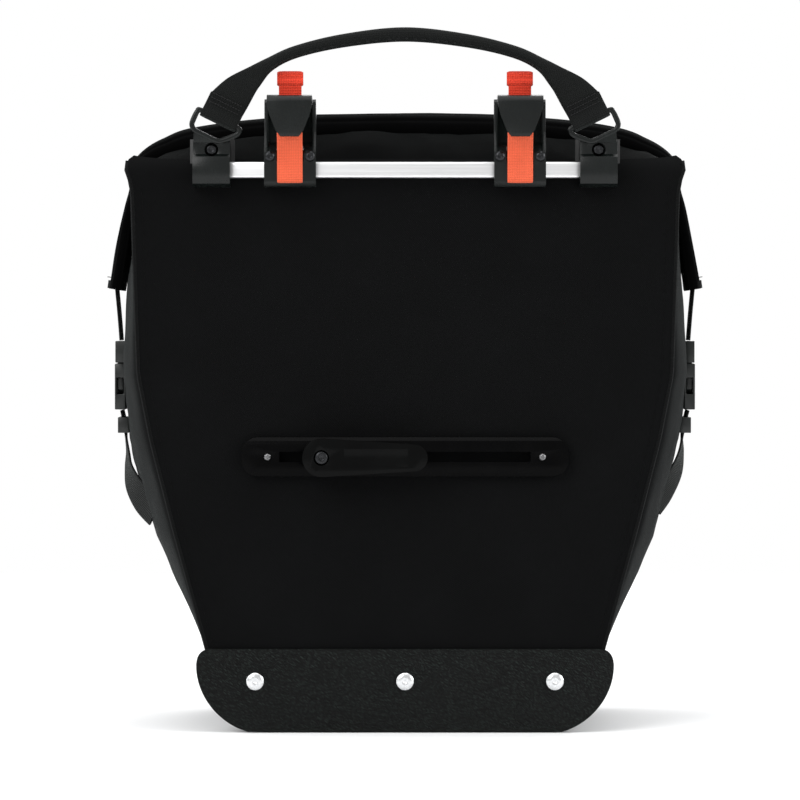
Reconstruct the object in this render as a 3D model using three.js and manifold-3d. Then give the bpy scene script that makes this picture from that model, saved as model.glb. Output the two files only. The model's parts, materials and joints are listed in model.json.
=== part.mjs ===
// A roll-top bicycle pannier: a fabric bag on a stiff back sheet, hung from an aluminium rail with two
// cam-lock hooks, with a sliding lower anchor, a riveted bottom guard, a webbing handle and side buckles.
// Millimetres, +Z up, -Y towards the bicycle, origin at the middle of the underside of the bottom guard.
import * as THREE from "three";
import { mergeVertices } from "three/addons/utils/BufferGeometryUtils.js";
import Module from "manifold-3d";

const wasm = await Module();
wasm.setup();

// ---- Driving dimensions ----
const GAP = 0.3; // between pieces that touch
const SKIN = 2.4; // coated fabric with its foam lining
const BACK_Y = -80; // outer face of the back panel
const FRONT_Y = 80; // outer face of the front panel at its edges
const FLOOR_Z = 2.8; // underside of the fabric, just above the guard
const PANEL_TOP = 361;
const GUSSET_TOP = 341;
const SEAM = [[5.5, 107], [30, 119], [127, 145.5], [184, 160], [225, 168], [361, 172]]; // height, half width
const BULGE = [[5.5, 2], [55, 7], [140, 13], [200, 10.5], [262, 10], [325, 1.5], [341, 0]]; // height, bulge
const FRONT_BULGE = [[84, 0], [160, 9], [300, 9], [361, 2]]; // height, how far the front swells
const STIFFENER_INSET = 5;
const STIFFENER_THICK = 2;

const GUARD = { thick: 2.5, height: 52.3, half: 131.7, foot: 99, cornerZ: 40, topRadius: 8 };
const GUARD_RIVET_X = [-94.5, 0, 94.5];
const GUARD_RIVET_Z = 31.8;

const RAIL = { y: -88, z: 353.6, half: 130.5, deep: 8, tall: 10, wall: 1.6 };
const BRACKET_X = 121.3; // middle of each end bracket
const BRACKET_HALF = 11.7;
const BRACKET_SCREW_Z = 12.7; // above the rail's axis
const LOOP = { x: 5.05, y: -6, z: 31.65, tilt: 0.452, wire: 2.8 }; // handle loop, from the rail's axis

const HOOK_X = 72;
const HOOK = { half: 16.2, archHalf: 14.2, lipHalf: 8.8, seatZ: 42, topZ: 46.4, lipEndZ: 20.4 };
const CLAMP_SCREW = { x: 12.6, z: 8.5, r: 2 };
const CAM_PIN = { y: -2, z: 13.2, r: 1.5 };
const WINDOW_HALF = 8.6; // half width of the cam's window
const WEBBING = 1.6; // thickness of all webbing

const TRACK = { z: 173.5, half: 103, tall: 25, deep: 6, slotHalf: 79, rivetX: 86.5 };
const ANCHOR = { x: -52.3, length: 58, bigR: 12, smallR: 8.5, face: -24, back: -18.5 };

const ROLL_Y = -15; // middle of the rolled closure, and of the side buckles
const ROLL_HALF = 18;
// The roll's centreline from the middle to the tip of one end, with its thickness there.
const ROLL_PATH = [[0, 383.2, 24], [70, 381.2, 23], [130, 375.4, 21], [156, 367, 17], [169.5, 356.5, 12],
  [176.1, 343, 7], [178.8, 325, 8.4], [181.9, 303, 9.4], [185.8, 280, 10]];
const COLLAR_CREST = [[0, 369.8], [70, 368.4], [130, 363], [158, 354], [168.5, 342]]; // half width, height

const HANDLE_PIVOT_Z = 385.2;
// Handle centreline from one end to the middle, with its width and thickness there.
const HANDLE_PATH = [[112.2, 393.6, 25, 3.2], [104.4, 403, 21, 3.6], [95.4, 411.4, 14, 5],
  [85, 419.6, 8.2, 7.2], [68, 427.6, 7.4, 7.4], [38, 434.6, 8, 8], [0, 438.4, 8.6, 8.6]];
const CORE_R = 2.2;

const BUCKLE = { x: 182.8, thick: 7, half: 15, low: 202, mid: 231.5, high: 246 };
const STRAP_HALF = 12;
// Lower side straps, from the buckle down to the gusset: across, up.
const LOWER_STRAP = {
  left: [[182.4, 201.4], [180.6, 192], [180.4, 178], [181.2, 163], [180.8, 151.5], [167, 136]],
  right: [[182.4, 201.4], [180, 192], [178.8, 184], [176.5, 174], [172.6, 160], [168.6, 150]],
};

// ---- Materials ----
const material = (color, roughness, metalness) =>
  new THREE.MeshStandardMaterial({ color, roughness, metalness });
const fabric = material(0x0a0a0b, 0.85, 0);
const webbing = material(0x121413, 0.9, 0);
const nylon = material(0x1d2321, 0.45, 0);
const guardSheet = material(0x1c211f, 0.6, 0);
const redWebbing = material(0xe8503a, 0.7, 0);
const aluminium = material(0xe6e8ea, 0.3, 1);
const steel = material(0xb8bcc0, 0.3, 1);
const blackSteel = material(0x151515, 0.3, 1);
const plasticSheet = material(0x2a2a2a, 0.6, 0);

// ---- Shape helpers ----
function toSolid(geometry) {
  const bare = geometry.index ? geometry.toNonIndexed() : geometry.clone();
  bare.deleteAttribute("normal");
  bare.deleteAttribute("uv");
  const merged = mergeVertices(bare, 1e-3);
  const vertProperties = merged.attributes.position.array;
  const triVerts = new Uint32Array(merged.index.array);
  return new wasm.Manifold(new wasm.Mesh({ numProp: 3, vertProperties, triVerts }));
}

function toGeometry(solid) {
  const mesh = solid.getMesh();
  const geometry = new THREE.BufferGeometry();
  geometry.setAttribute("position", new THREE.BufferAttribute(mesh.vertProperties, 3));
  geometry.setIndex(new THREE.BufferAttribute(mesh.triVerts, 1));
  const flat = geometry.toNonIndexed();
  flat.computeVertexNormals();
  return flat;
}

const cut = (body, ...tools) =>
  toGeometry(tools.reduce((left, tool) => left.subtract(toSolid(tool)), toSolid(body)));
const join = (first, ...others) =>
  toGeometry(others.reduce((sum, other) => sum.add(toSolid(other)), toSolid(first)));
const overlapOf = (a, b) => toGeometry(toSolid(a).intersect(toSolid(b)));

const shapeOf = (points) => new THREE.Shape(points.map(([a, b]) => new THREE.Vector2(a, b)));
const mirrored = (half) => [...half, ...half.map(([a, b]) => [-a, b]).reverse()];

// A prism across one axis: along X its outline is in (y, z), along Y in (x, z), along Z in (x, y).
function prism(axis, outline, low, high) {
  const shape = Array.isArray(outline) ? shapeOf(outline) : outline;
  const options = { depth: high - low, bevelEnabled: false, curveSegments: 6 };
  const geometry = new THREE.ExtrudeGeometry(shape, options);
  if (axis === "x") geometry.rotateX(Math.PI / 2).rotateZ(Math.PI / 2).translate(low, 0, 0);
  if (axis === "y") geometry.rotateX(Math.PI / 2).translate(0, high, 0);
  if (axis === "z") geometry.translate(0, 0, low);
  return geometry;
}

function block([x0, x1], [y0, y1], [z0, z1]) {
  const geometry = new THREE.BoxGeometry(x1 - x0, y1 - y0, z1 - z0);
  return geometry.translate((x0 + x1) / 2, (y0 + y1) / 2, (z0 + z1) / 2);
}

function rod(axis, r, low, high, [a, b], sides = 12) {
  const geometry = new THREE.CylinderGeometry(r, r, high - low, sides).translate(0, (low + high) / 2, 0);
  if (axis === "x") return geometry.rotateZ(-Math.PI / 2).translate(0, a, b);
  return geometry.translate(a, 0, b);
}

// A round piece about a line along Y, from [radius, y] points that start and end on that line.
const turned = (profile, x, z, sides = 16) =>
  new THREE.LatheGeometry(profile.map(([r, y]) => new THREE.Vector2(r, y)), sides).translate(x, 0, z);

function at(table, value) {
  const next = table.findIndex(([key]) => key >= value);
  if (next <= 0) return next < 0 ? table[table.length - 1][1] : table[0][1];
  const [[k0, v0], [k1, v1]] = [table[next - 1], table[next]];
  return v0 + ((v1 - v0) * (value - k0)) / (k1 - k0);
}

// A closed solid from rings of points, each ring joined to the next, with `cap` naming the end triangles.
function ringSolid(rings, cap) {
  const count = rings[0].length;
  const faces = [];
  for (let i = 0; i + 1 < rings.length; i++) {
    for (let k = 0; k < count; k++) {
      const [a, b] = [i * count + k, i * count + ((k + 1) % count)];
      faces.push(a, b, a + count, b, b + count, a + count);
    }
  }
  const last = (rings.length - 1) * count;
  for (const [a, b, c] of cap) faces.push(a, c, b, last + a, last + b, last + c);
  const geometry = new THREE.BufferGeometry();
  geometry.setAttribute("position", new THREE.Float32BufferAttribute(rings.flat(2), 3));
  geometry.setIndex(faces);
  if (toSolid(geometry).volume() < 0) geometry.index.array.reverse();
  return geometry;
}

// A bar through convex rings.
function loft(rings) {
  const fan = Array.from({ length: rings[0].length - 2 }, (_, k) => [0, k + 1, k + 2]);
  return ringSolid(rings, fan);
}

// A closed sheet: `pointAt(u, v, depth)` gives a point for u and v from 0 to 1 at a depth below the face.
function sheet(pointAt, across, up, thick) {
  const steps = Array.from({ length: up + 1 }, (_, k) => k / up);
  const rings = Array.from({ length: across + 1 }, (_, i) => {
    const outer = steps.map((v) => pointAt(i / across, v, 0));
    const inner = steps.map((v) => pointAt(i / across, v, thick)).reverse();
    return [...outer, ...inner];
  });
  const count = 2 * steps.length;
  const strip = steps.slice(1).flatMap((_, k) =>
    [[k, k + 1, count - 2 - k], [k, count - 2 - k, count - 1 - k]]);
  return ringSolid(rings, strip);
}

// The outline of a band of even thickness along a line of points.
function band(line, thick) {
  const sides = [1, -1].map((sign) => line.map((point, i) => {
    const [from, to] = [line[Math.max(i - 1, 0)], line[Math.min(i + 1, line.length - 1)]];
    const length = Math.hypot(to[0] - from[0], to[1] - from[1]);
    const push = (sign * thick) / 2 / length;
    return [point[0] - (to[1] - from[1]) * push, point[1] + (to[0] - from[0]) * push];
  }));
  return [...sides[0], ...sides[1].reverse()];
}

const group = new THREE.Group();
function add(name, geometry, look, parent = group) {
  const mesh = new THREE.Mesh(geometry, look);
  mesh.name = name;
  parent.add(mesh);
  return mesh;
}

function groupAt(x, y, z, parent = group) {
  const inner = new THREE.Group();
  inner.position.set(x, y, z);
  parent.add(inner);
  return inner;
}

// ---- The bag's fabric and its stiffener ----
const seamOutline = (inset, low, high) =>
  shapeOf(mirrored([low, ...SEAM.map(([z]) => z).filter((z) => z > low && z < high), high]
    .map((z) => [at(SEAM, z) - inset, z])));

function boltHoles(low, high) {
  const z = RAIL.z + BRACKET_SCREW_Z;
  const holes = [-1, 1].map((side) => rod("y", 2.6, low, high, [side * BRACKET_X, z], 10));
  for (const side of [-1, 1]) holes.push(rod("y", 2.2, low, high, [side * TRACK.rivetX, TRACK.z], 10));
  for (const x of GUARD_RIVET_X) holes.push(rod("y", 2.5, low, high, [x, GUARD_RIVET_Z], 10));
  return holes;
}

function backPanel() {
  const z = RAIL.z + BRACKET_SCREW_Z;
  const tabs = [-1, 1].map((side) =>
    block([side * BRACKET_X - 16, side * BRACKET_X + 16], [BACK_Y, BACK_Y + SKIN], [PANEL_TOP - 8, z + 8]));
  const outline = seamOutline(0, FLOOR_Z + SKIN + GAP, PANEL_TOP);
  const panel = join(prism("y", outline, BACK_Y, BACK_Y + SKIN), ...tabs);
  return cut(panel, ...boltHoles(BACK_Y - 1, BACK_Y + SKIN + 1));
}

function stiffener() {
  const low = BACK_Y + SKIN + GAP;
  const top = RAIL.z + BRACKET_SCREW_Z + 7;
  const ears = [-1, 1].map((side) => block([side * BRACKET_X - 14, side * BRACKET_X + 14],
    [low, low + STIFFENER_THICK], [GUSSET_TOP - 8, top]));
  const plate = prism("y", seamOutline(STIFFENER_INSET, 10, GUSSET_TOP), low, low + STIFFENER_THICK);
  return cut(join(plate, ...ears), ...boltHoles(low - 1, low + STIFFENER_THICK + 1));
}

function frontPanel() {
  const low = FLOOR_Z + SKIN + GAP;
  const panel = sheet((u, v, depth) => {
    const z = low + v * (PANEL_TOP - 4 - low);
    const across = 2 * u - 1;
    const swell = at(FRONT_BULGE, z) * (1 - across * across);
    return [across * at(SEAM, z), FRONT_Y + swell - depth, z];
  }, 8, 9, SKIN);
  const holes = GUARD_RIVET_X.map((x) =>
    rod("y", 2.5, FRONT_Y - SKIN - 1, FRONT_Y + 2, [x, GUARD_RIVET_Z], 10));
  return cut(panel, ...holes);
}

function gusset() {
  const low = FLOOR_Z + SKIN + GAP;
  const [near, far] = [BACK_Y + SKIN + GAP, FRONT_Y - SKIN - GAP];
  return sheet((u, v, depth) => {
    const z = low + v * (GUSSET_TOP - low);
    const bulge = at(BULGE, z) * Math.sin(Math.PI * u);
    return [at(SEAM, z) + bulge - depth, near + u * (far - near), z];
  }, 6, 10, SKIN);
}

function bottomPanel() {
  return block([-105, 105], [BACK_Y, FRONT_Y], [FLOOR_Z, FLOOR_Z + SKIN]);
}

// The fabric that covers the top, from the back panel up to the roll and down to the front panel.
function topCollar() {
  const half = COLLAR_CREST[COLLAR_CREST.length - 1][0] - 2;
  const [near, far] = [BACK_Y + 9.8, FRONT_Y - SKIN - GAP];
  return sheet((u, v, depth) => {
    const x = (2 * u - 1) * half;
    const y = near + v * (far - near);
    const crest = at(COLLAR_CREST, Math.abs(x));
    const slope = y < ROLL_Y ? (ROLL_Y - y) / (ROLL_Y - near) : (y - ROLL_Y) / (far - ROLL_Y);
    const edge = Math.min(crest, 350);
    return [x, y, crest - 0.6 + (edge - crest) * slope ** 2 - depth];
  }, 8, 8, SKIN);
}

// One long flattened roll of fabric: across the top, over the shoulders and down both sides.
function rollClosure() {
  const path = [...ROLL_PATH.slice(1).reverse().map(([x, z, t]) => [-x, z, t]), ...ROLL_PATH];
  const corners = 10;
  const rings = path.map(([x, z, thick], i) => {
    const [from, to] = [path[Math.max(i - 1, 0)], path[Math.min(i + 1, path.length - 1)]];
    const length = Math.hypot(to[0] - from[0], to[1] - from[1]);
    const normal = [-(to[1] - from[1]) / length, (to[0] - from[0]) / length];
    return Array.from({ length: corners }, (_, k) => {
      const angle = ((k + 0.5) * 2 * Math.PI) / corners;
      const [side, up] = [squared(Math.cos(angle)) * ROLL_HALF, (squared(Math.sin(angle)) * thick) / 2];
      return [x + normal[0] * up, ROLL_Y + side, z + normal[1] * up];
    });
  });
  return loft(rings);
}

// Pulls a sine or cosine towards +-1, which squares off an ellipse.
const squared = (value) => Math.sign(value) * Math.abs(value) ** 0.6;

// ---- The riveted bottom guard ----
function guardFlange(low, high) {
  const { half, foot, cornerZ, height, topRadius } = GUARD;
  const shape = new THREE.Shape();
  shape.moveTo(-foot, 0);
  shape.lineTo(foot, 0);
  shape.bezierCurveTo(foot + 16, 4, half - 1, cornerZ - 20, half, cornerZ);
  shape.quadraticCurveTo(half + 0.5, height - 1, half - topRadius, height);
  shape.lineTo(topRadius - half, height);
  shape.quadraticCurveTo(-half - 0.5, height - 1, -half, cornerZ);
  shape.bezierCurveTo(1 - half, cornerZ - 20, -foot - 16, 4, -foot, 0);
  return prism("y", shape, low, high);
}

function guard() {
  const { thick, foot } = GUARD;
  const [near, far] = [BACK_Y - GAP, FRONT_Y + GAP];
  const base = block([-foot, foot], [near - thick / 2, far + thick / 2], [0, thick]);
  const whole = join(guardFlange(near - thick, near), base, guardFlange(far, far + thick));
  const notch = (side) => block([-1, 1], [near - 5, far + 5], [-1.2, 1.2]).rotateY(side * 0.6)
    .translate(side * (foot + 7), 0, 2.4);
  const holes = GUARD_RIVET_X.map((x) => rod("y", 2.5, near - 5, far + 5, [x, GUARD_RIVET_Z], 10));
  return cut(whole, notch(1), notch(-1), ...holes);
}

// A domed rivet from its head outside to its spread tail inside; `inward` is 1 along +Y or -1.
function rivet(x, z, faceY, tailY, inward, headR, shankR) {
  const profile = [[0, -1.8], [headR * 0.6, -1.5], [headR, -0.5], [headR, 0], [shankR, 0]]
    .map(([r, y]) => [r, faceY + inward * (y - GAP / 2)]);
  profile.push([shankR, tailY], [headR * 0.75, tailY], [headR * 0.75, tailY + inward * 1.4],
    [0, tailY + inward * 1.4]);
  return turned(inward > 0 ? profile : profile.reverse(), x, z, 14);
}

function addGuard() {
  add("bottom_guard", guard(), guardSheet);
  const backTail = BACK_Y + SKIN + GAP + STIFFENER_THICK + GAP / 2;
  const frontTail = FRONT_Y - SKIN - GAP / 2;
  const names = ["left", "middle", "right"];
  GUARD_RIVET_X.forEach((x, i) => {
    const [near, far] = [BACK_Y - GAP - GUARD.thick, FRONT_Y + GAP + GUARD.thick];
    add(`guard_rivet_back_${names[i]}`, rivet(x, GUARD_RIVET_Z, near, backTail, 1, 5.5, 2.2), steel);
    add(`guard_rivet_front_${names[i]}`, rivet(x, GUARD_RIVET_Z, far, frontTail, -1, 5.5, 2.2), steel);
  });
}

// ---- The rail and its end brackets ----
const roundedRect = (halfA, halfB, r) => {
  const shape = new THREE.Shape();
  shape.absarc(halfA - r, halfB - r, r, 0, Math.PI / 2);
  shape.absarc(r - halfA, halfB - r, r, Math.PI / 2, Math.PI);
  shape.absarc(r - halfA, r - halfB, r, Math.PI, 1.5 * Math.PI);
  shape.absarc(halfA - r, r - halfB, r, 1.5 * Math.PI, 2 * Math.PI);
  return shape;
};

function rail() {
  const outline = roundedRect(RAIL.deep / 2, RAIL.tall / 2, 1.6);
  const bore = roundedRect(RAIL.deep / 2 - RAIL.wall, RAIL.tall / 2 - RAIL.wall, 0.6);
  return cut(prism("x", outline, -RAIL.half, RAIL.half), prism("x", bore, -RAIL.half - 1, RAIL.half + 1));
}

// The slanted loop that the handle's webbing folds round, in its own frame: along the bar, across it.
function handleLoop() {
  const { x, y, z, tilt, wire } = LOOP;
  const outer = [[-13, 1.6], [14, 1.6], [15.8, 0.2], [15.9, -3.6], [7.4, -13.4], [4.2, -14.4], [-11, -14.4],
    [-15, -11.6], [-16.2, -6], [-15.6, -0.8]];
  const inner = [[-13.1, -1.2], [12.9, -1.2], [12.9, -3.4], [5.7, -10.8], [3.2, -11.6], [-10.4, -11.6],
    [-12.8, -9.6]];
  const ring = cut(prism("y", outer, -wire / 2, wire / 2), prism("y", inner, -wire, wire));
  return ring.rotateY(tilt).translate(x, y, z);
}

function endBracket() {
  const back = BACK_Y - RAIL.y - GAP;
  const side = [[back, -10.6], [-3.5, -10.6], [-7, -8.6], [-8.6, -4.5], [-8.8, 0], [-8.6, 4.5], [-7.4, 8.2],
    [-5, 10], [-4.8, 18.2], [back, 18.2]];
  const neck = [[-11.2, 17], [5, 17], [4, 19], [-10.6, 26.4]];
  const shell = prism("x", side, -BRACKET_HALF, BRACKET_HALF);
  const body = join(shell, prism("y", neck, -7.4, -4.6), handleLoop());
  const railEnd = BRACKET_X - RAIL.half - GAP;
  const pocket = block([railEnd, BRACKET_HALF + 1],
    [-RAIL.deep / 2 - GAP, RAIL.deep / 2 + GAP], [-RAIL.tall / 2 - GAP, RAIL.tall / 2 + GAP]);
  const hole = rod("y", 2.5, -10, 10, [0, BRACKET_SCREW_Z]);
  const recess = rod("y", 4.4, -10, -1.5, [0, BRACKET_SCREW_Z], 16);
  return cut(body, pocket, hole, recess);
}

function bracketScrew() {
  const tail = BACK_Y + SKIN + GAP + STIFFENER_THICK + 5 - RAIL.y;
  const profile = [[0, -4.4], [2.6, -4.3], [3.7, -3.4], [3.7, -1.5 - GAP / 2], [2.2, -1.5 - GAP / 2],
    [2.2, tail], [0, tail]];
  const socket = rod("y", 1.6, -6, -2.9, [0, BRACKET_SCREW_Z], 6);
  return cut(turned(profile, 0, BRACKET_SCREW_Z), socket);
}

function bracketNut() {
  const face = BACK_Y + SKIN + GAP + STIFFENER_THICK + GAP - RAIL.y;
  const plate = rod("y", 7, face, face + 1.2, [0, BRACKET_SCREW_Z], 16);
  const nut = rod("y", 4.4, face + 1, face + 4, [0, BRACKET_SCREW_Z], 6);
  return cut(join(plate, nut), rod("y", 2.6, face - 1, face + 6, [0, BRACKET_SCREW_Z]));
}

function addRail() {
  add("rail", rail(), aluminium).position.set(0, RAIL.y, RAIL.z);
  for (const [name, side] of [["left", -1], ["right", 1]]) {
    const end = groupAt(side * BRACKET_X, RAIL.y, RAIL.z);
    end.scale.x = -side; // modelled for the left end
    add(`end_bracket_${name}`, endBracket(), nylon, end);
    add(`bracket_screw_${name}`, bracketScrew(), blackSteel, end);
    add(`bracket_nut_${name}`, bracketNut(), steel, end);
  }
}

// ---- One cam-lock hook, about the rail's axis ----
function hookBody() {
  const { half, archHalf, lipHalf, seatZ, topZ, lipEndZ } = HOOK;
  const side = [[6.8, -8], [4.5, -10.6], [-5.5, -10.6], [-8.6, -7.5], [-8.6, 10], [-6, 14.4], [-1, 17.5],
    [1.5, 17.5], [1.5, seatZ], [-16, seatZ], [-16, lipEndZ + 1.6], [-17, lipEndZ], [-19, lipEndZ],
    [-20, lipEndZ + 1.6], [-20, 42.6], [-18.6, 45.2], [-15.6, topZ], [2.6, topZ], [5.4, 44.6], [6.8, 41]];
  const cheek = [[6.8, -8], [4.5, -10.6], [-5.5, -10.6], [-8.6, -7.5], [-8.6, 11], [-5.6, 16], [-0.6, 24],
    [-0.6, 42.6], [0.8, 43.8], [3, 44.6], [5.4, 43.6], [6.8, 41]];
  const cheeks = [-1, 1].map((sign) => {
    const [a, b] = [sign * (archHalf - 0.5), sign * half];
    return prism("x", cheek, Math.min(a, b), Math.max(a, b));
  });
  const body = join(prism("x", side, -archHalf, archHalf), ...cheeks);
  const outside = (sign) => prism("y", [[sign * 40, 60], [sign * 40, 0], [sign * (lipHalf - 3), 0],
    [sign * (lipHalf - 3), lipEndZ], [sign * lipHalf, lipEndZ + 4], [sign * (archHalf - 1.6), seatZ - 8],
    [sign * archHalf, seatZ - 1], [sign * archHalf, 60]], -30, -15.9);
  const window = block([-WINDOW_HALF, WINDOW_HALF], [-12, 1.5], [RAIL.tall / 2 + 0.8, 20]);
  const slot = block([-8.4, 8.4], [-0.8, 1.5], [30, 60]);
  const railHole = block([-30, 30], [-RAIL.deep / 2 - GAP, RAIL.deep / 2 + GAP],
    [-RAIL.tall / 2 - GAP, RAIL.tall / 2 + GAP]);
  const screws = [-1, 1].map((sign) =>
    rod("y", CLAMP_SCREW.r + GAP, -12, 12, [sign * CLAMP_SCREW.x, CLAMP_SCREW.z], 10));
  const pin = rod("x", CAM_PIN.r + GAP, -30, 30, [CAM_PIN.y, CAM_PIN.z]);
  return cut(body, outside(1), outside(-1), window, slot, railHole, pin, ...screws);
}

// The sprung lever whose nose traps the rack's tube from below.
function cam() {
  const { y, z, r } = CAM_PIN;
  const nose = [[-5.2, 12], [-12.6, 20.6], [-13.4, 22], [-12.8, 23.4], [-11.4, 23.2], [-6.5, 19.6],
    [0.4, 15.6], [1, 12.6], [-2, 9.8]];
  return cut(prism("x", nose, -WINDOW_HALF + 0.4, 4), rod("x", r + GAP, -20, 20, [y, z]));
}

function camSpring() {
  const turns = 2.5;
  const [start, end, radius] = [4.9, 7.9, 2.5];
  const points = Array.from({ length: 26 }, (_, i) => {
    const angle = (i / 25) * turns * 2 * Math.PI;
    const along = start + ((end - start) * i) / 25;
    return new THREE.Vector3(along, radius * Math.cos(angle), radius * Math.sin(angle));
  });
  const wire = roundedRect(0.32, 0.32, 0.2);
  const extrudePath = new THREE.CatmullRomCurve3(points);
  const options = { steps: 25, extrudePath, bevelEnabled: false, curveSegments: 1 };
  return new THREE.ExtrudeGeometry(wire, options).translate(0, CAM_PIN.y, CAM_PIN.z);
}

function clampScrew(sign) {
  const { x, z, r } = CLAMP_SCREW;
  const seat = -8.6 - GAP / 2;
  const head = [[0, -11], [1.8, -10.9], [3, -10.2], [3, seat], [r, seat], [r, 6.6], [0, 6.6]];
  return cut(turned(head, sign * x, z), rod("y", 1.4, -12, -9.8, [sign * x, z], 6));
}

// The part of the red strap that shows in front of the saddle and leans over the cam's nose.
function lowerPull() {
  const line = [[-2, -11.8], [-7, -11.8], [-9.6, -9.9], [-9.9, -7.4], [-9.9, 12], [-14, 20.2], [-14.7, 23]];
  return prism("x", band(line, WEBBING), -8, 8);
}

// The part that runs up the back of the hook and out of its top, with its folded pull tab.
function upperPull() {
  const strap = block([-7.2, 7.2], [-0.5, 1.1], [31, 54]);
  const tab = [[-0.9, 53], [-1.3, 55.2], [-0.8, 57.3], [-1.3, 59.4], [-0.9, 61.4], [0, 62.2], [0.9, 62.2],
    [1.9, 61.4], [2.4, 59.4], [1.9, 57.3], [2.6, 55.2], [2.2, 53]];
  return join(strap, prism("x", tab, -8.2, 8.2));
}

function addHook(name, x) {
  const hook = groupAt(x, RAIL.y, RAIL.z);
  add(`hook_body_${name}`, hookBody(), nylon, hook);
  add(`cam_${name}`, cam(), nylon, hook);
  const pinHalf = HOOK.half - 0.4;
  add(`cam_pin_${name}`, rod("x", CAM_PIN.r, -pinHalf, pinHalf, [CAM_PIN.y, CAM_PIN.z]), steel, hook);
  add(`cam_spring_${name}`, camSpring(), steel, hook);
  add(`clamp_screw_a_${name}`, clampScrew(-1), blackSteel, hook);
  add(`clamp_screw_b_${name}`, clampScrew(1), blackSteel, hook);
  add(`lower_pull_strap_${name}`, lowerPull(), redWebbing, hook);
  add(`upper_pull_strap_${name}`, upperPull(), redWebbing, hook);
}

// ---- The lower track and its sliding anchor ----
function track() {
  const { half, tall, deep, slotHalf, rivetX } = TRACK;
  const h = tall / 2;
  const side = [[-GAP, -h], [1.5 - deep, -h], [-deep, 2.5 - h], [-deep, h - 2.5], [1.5 - deep, h], [-GAP, h]];
  const plan = roundedRect(half, h, h - 2);
  const plate = overlapOf(prism("x", side, -half, half), prism("y", plan, -deep - 1, 1));
  const mouth = block([-slotHalf, slotHalf], [-deep - 1, 0], [-3.2, 3.2]);
  const pocket = block([-slotHalf, slotHalf], [-deep + 2.2, 0], [-6.6, 6.6]);
  const holes = [-1, 1].map((sign) => rod("y", 2.2, -deep - 1, 1, [sign * rivetX, 0], 10));
  return cut(plate, mouth, pocket, ...holes);
}

function anchorArm() {
  const { length, bigR, smallR, face, back } = ANCHOR;
  const shape = new THREE.Shape();
  const lean = Math.asin((bigR - smallR) / length);
  shape.absarc(length, 0, smallR, -Math.PI / 2 - lean, Math.PI / 2 + lean);
  shape.absarc(0, 0, bigR, Math.PI / 2 - lean, 1.5 * Math.PI + lean);
  const boss = rod("y", bigR - 1.5, back - 1, -TRACK.deep - GAP, [0, 0], 20);
  const lip = block([length - 1, length + smallR - 2], [back - 1, back + 4.5], [-5.5, 5.5]);
  const label = block([14, length - 4], [face - 1, face + 0.8], [-5.5, 5.5]);
  const hole = rod("y", 2.6, -40, 0, [0, 0]);
  const recess = rod("y", 4.9, -40, face + 3, [0, 0], 16);
  return cut(join(prism("y", shape, face, back), boss, lip), label, hole, recess);
}

function anchorScrew() {
  const seat = ANCHOR.face + 3 - GAP / 2;
  const head = [[0, seat - 3], [3.2, seat - 2.8], [4.4, seat - 2], [4.4, seat], [2.3, seat], [2.3, -1.4],
    [0, -1.4]];
  return cut(turned(head, 0, 0), rod("y", 1.9, seat - 6, seat - 1.2, [0, 0], 6));
}

function anchorNut() {
  const plate = block([-6, 6], [-TRACK.deep + 2.2 + GAP, -1.2], [-6.2, 6.2]);
  return cut(plate, rod("y", 2.65, -10, 2, [0, 0]));
}

function addTrack() {
  const base = groupAt(0, BACK_Y, TRACK.z);
  add("lower_track", track(), nylon, base);
  const tail = SKIN + GAP + STIFFENER_THICK + GAP / 2;
  for (const [name, sign] of [["left", -1], ["right", 1]]) {
    add(`track_rivet_${name}`, rivet(sign * TRACK.rivetX, 0, -TRACK.deep, tail, 1, 3.6, 1.9), steel, base);
  }
  const anchor = groupAt(ANCHOR.x, 0, 0, base);
  add("anchor_arm", anchorArm(), nylon, anchor);
  add("anchor_screw", anchorScrew(), blackSteel, anchor);
  add("anchor_nut", anchorNut(), steel, anchor);
}

// ---- The carrying handle: webbing rolled round a cord, opening flat at both ends ----
const handleLine = [...HANDLE_PATH.map(([x, ...rest]) => [-x, ...rest]),
  ...HANDLE_PATH.slice(0, -1).reverse()];

function handleCurve(from, to) {
  const points = handleLine.map(([x, z]) => new THREE.Vector3(x, 0, z));
  return new THREE.CatmullRomCurve3(points.slice(from, to));
}

function handleWebbing() {
  const curve = handleCurve(0, handleLine.length);
  const steps = 30;
  const sides = 10;
  const rings = Array.from({ length: steps + 1 }, (_, i) => {
    const along = i / steps;
    const point = curve.getPoint(along);
    const tangent = curve.getTangent(along);
    const stop = Math.min(Math.floor(along * (handleLine.length - 1)), handleLine.length - 2);
    const blend = along * (handleLine.length - 1) - stop;
    const size = (k) => handleLine[stop][k] * (1 - blend) + handleLine[stop + 1][k] * blend;
    return Array.from({ length: sides }, (_, k) => {
      const angle = ((k + 0.5) * 2 * Math.PI) / sides;
      const across = (Math.cos(angle) * size(2)) / 2;
      const deep = (Math.sin(angle) * size(3)) / 2;
      return [point.x - tangent.z * across, deep, point.z + tangent.x * across];
    });
  });
  const extrudePath = handleCurve(3, handleLine.length - 3);
  const bore = new THREE.ExtrudeGeometry(new THREE.Shape().absarc(0, 0, CORE_R + GAP, 0, 2 * Math.PI),
    { steps: 20, extrudePath, bevelEnabled: false, curveSegments: 8 });
  const seamGap = block([-6, 6], [-0.3, 0.3], [HANDLE_PATH[6][1] - 8, HANDLE_PATH[6][1]]);
  return cut(loft(rings), bore, seamGap);
}

function handleCore() {
  const extrudePath = handleCurve(3, handleLine.length - 3);
  const cord = new THREE.ExtrudeGeometry(new THREE.Shape().absarc(0, 0, CORE_R, 0, 2 * Math.PI),
    { steps: 20, extrudePath, bevelEnabled: false, curveSegments: 8 });
  return overlapOf(cord, block([-84, 84], [-20, 20], [0, 500]));
}

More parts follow.
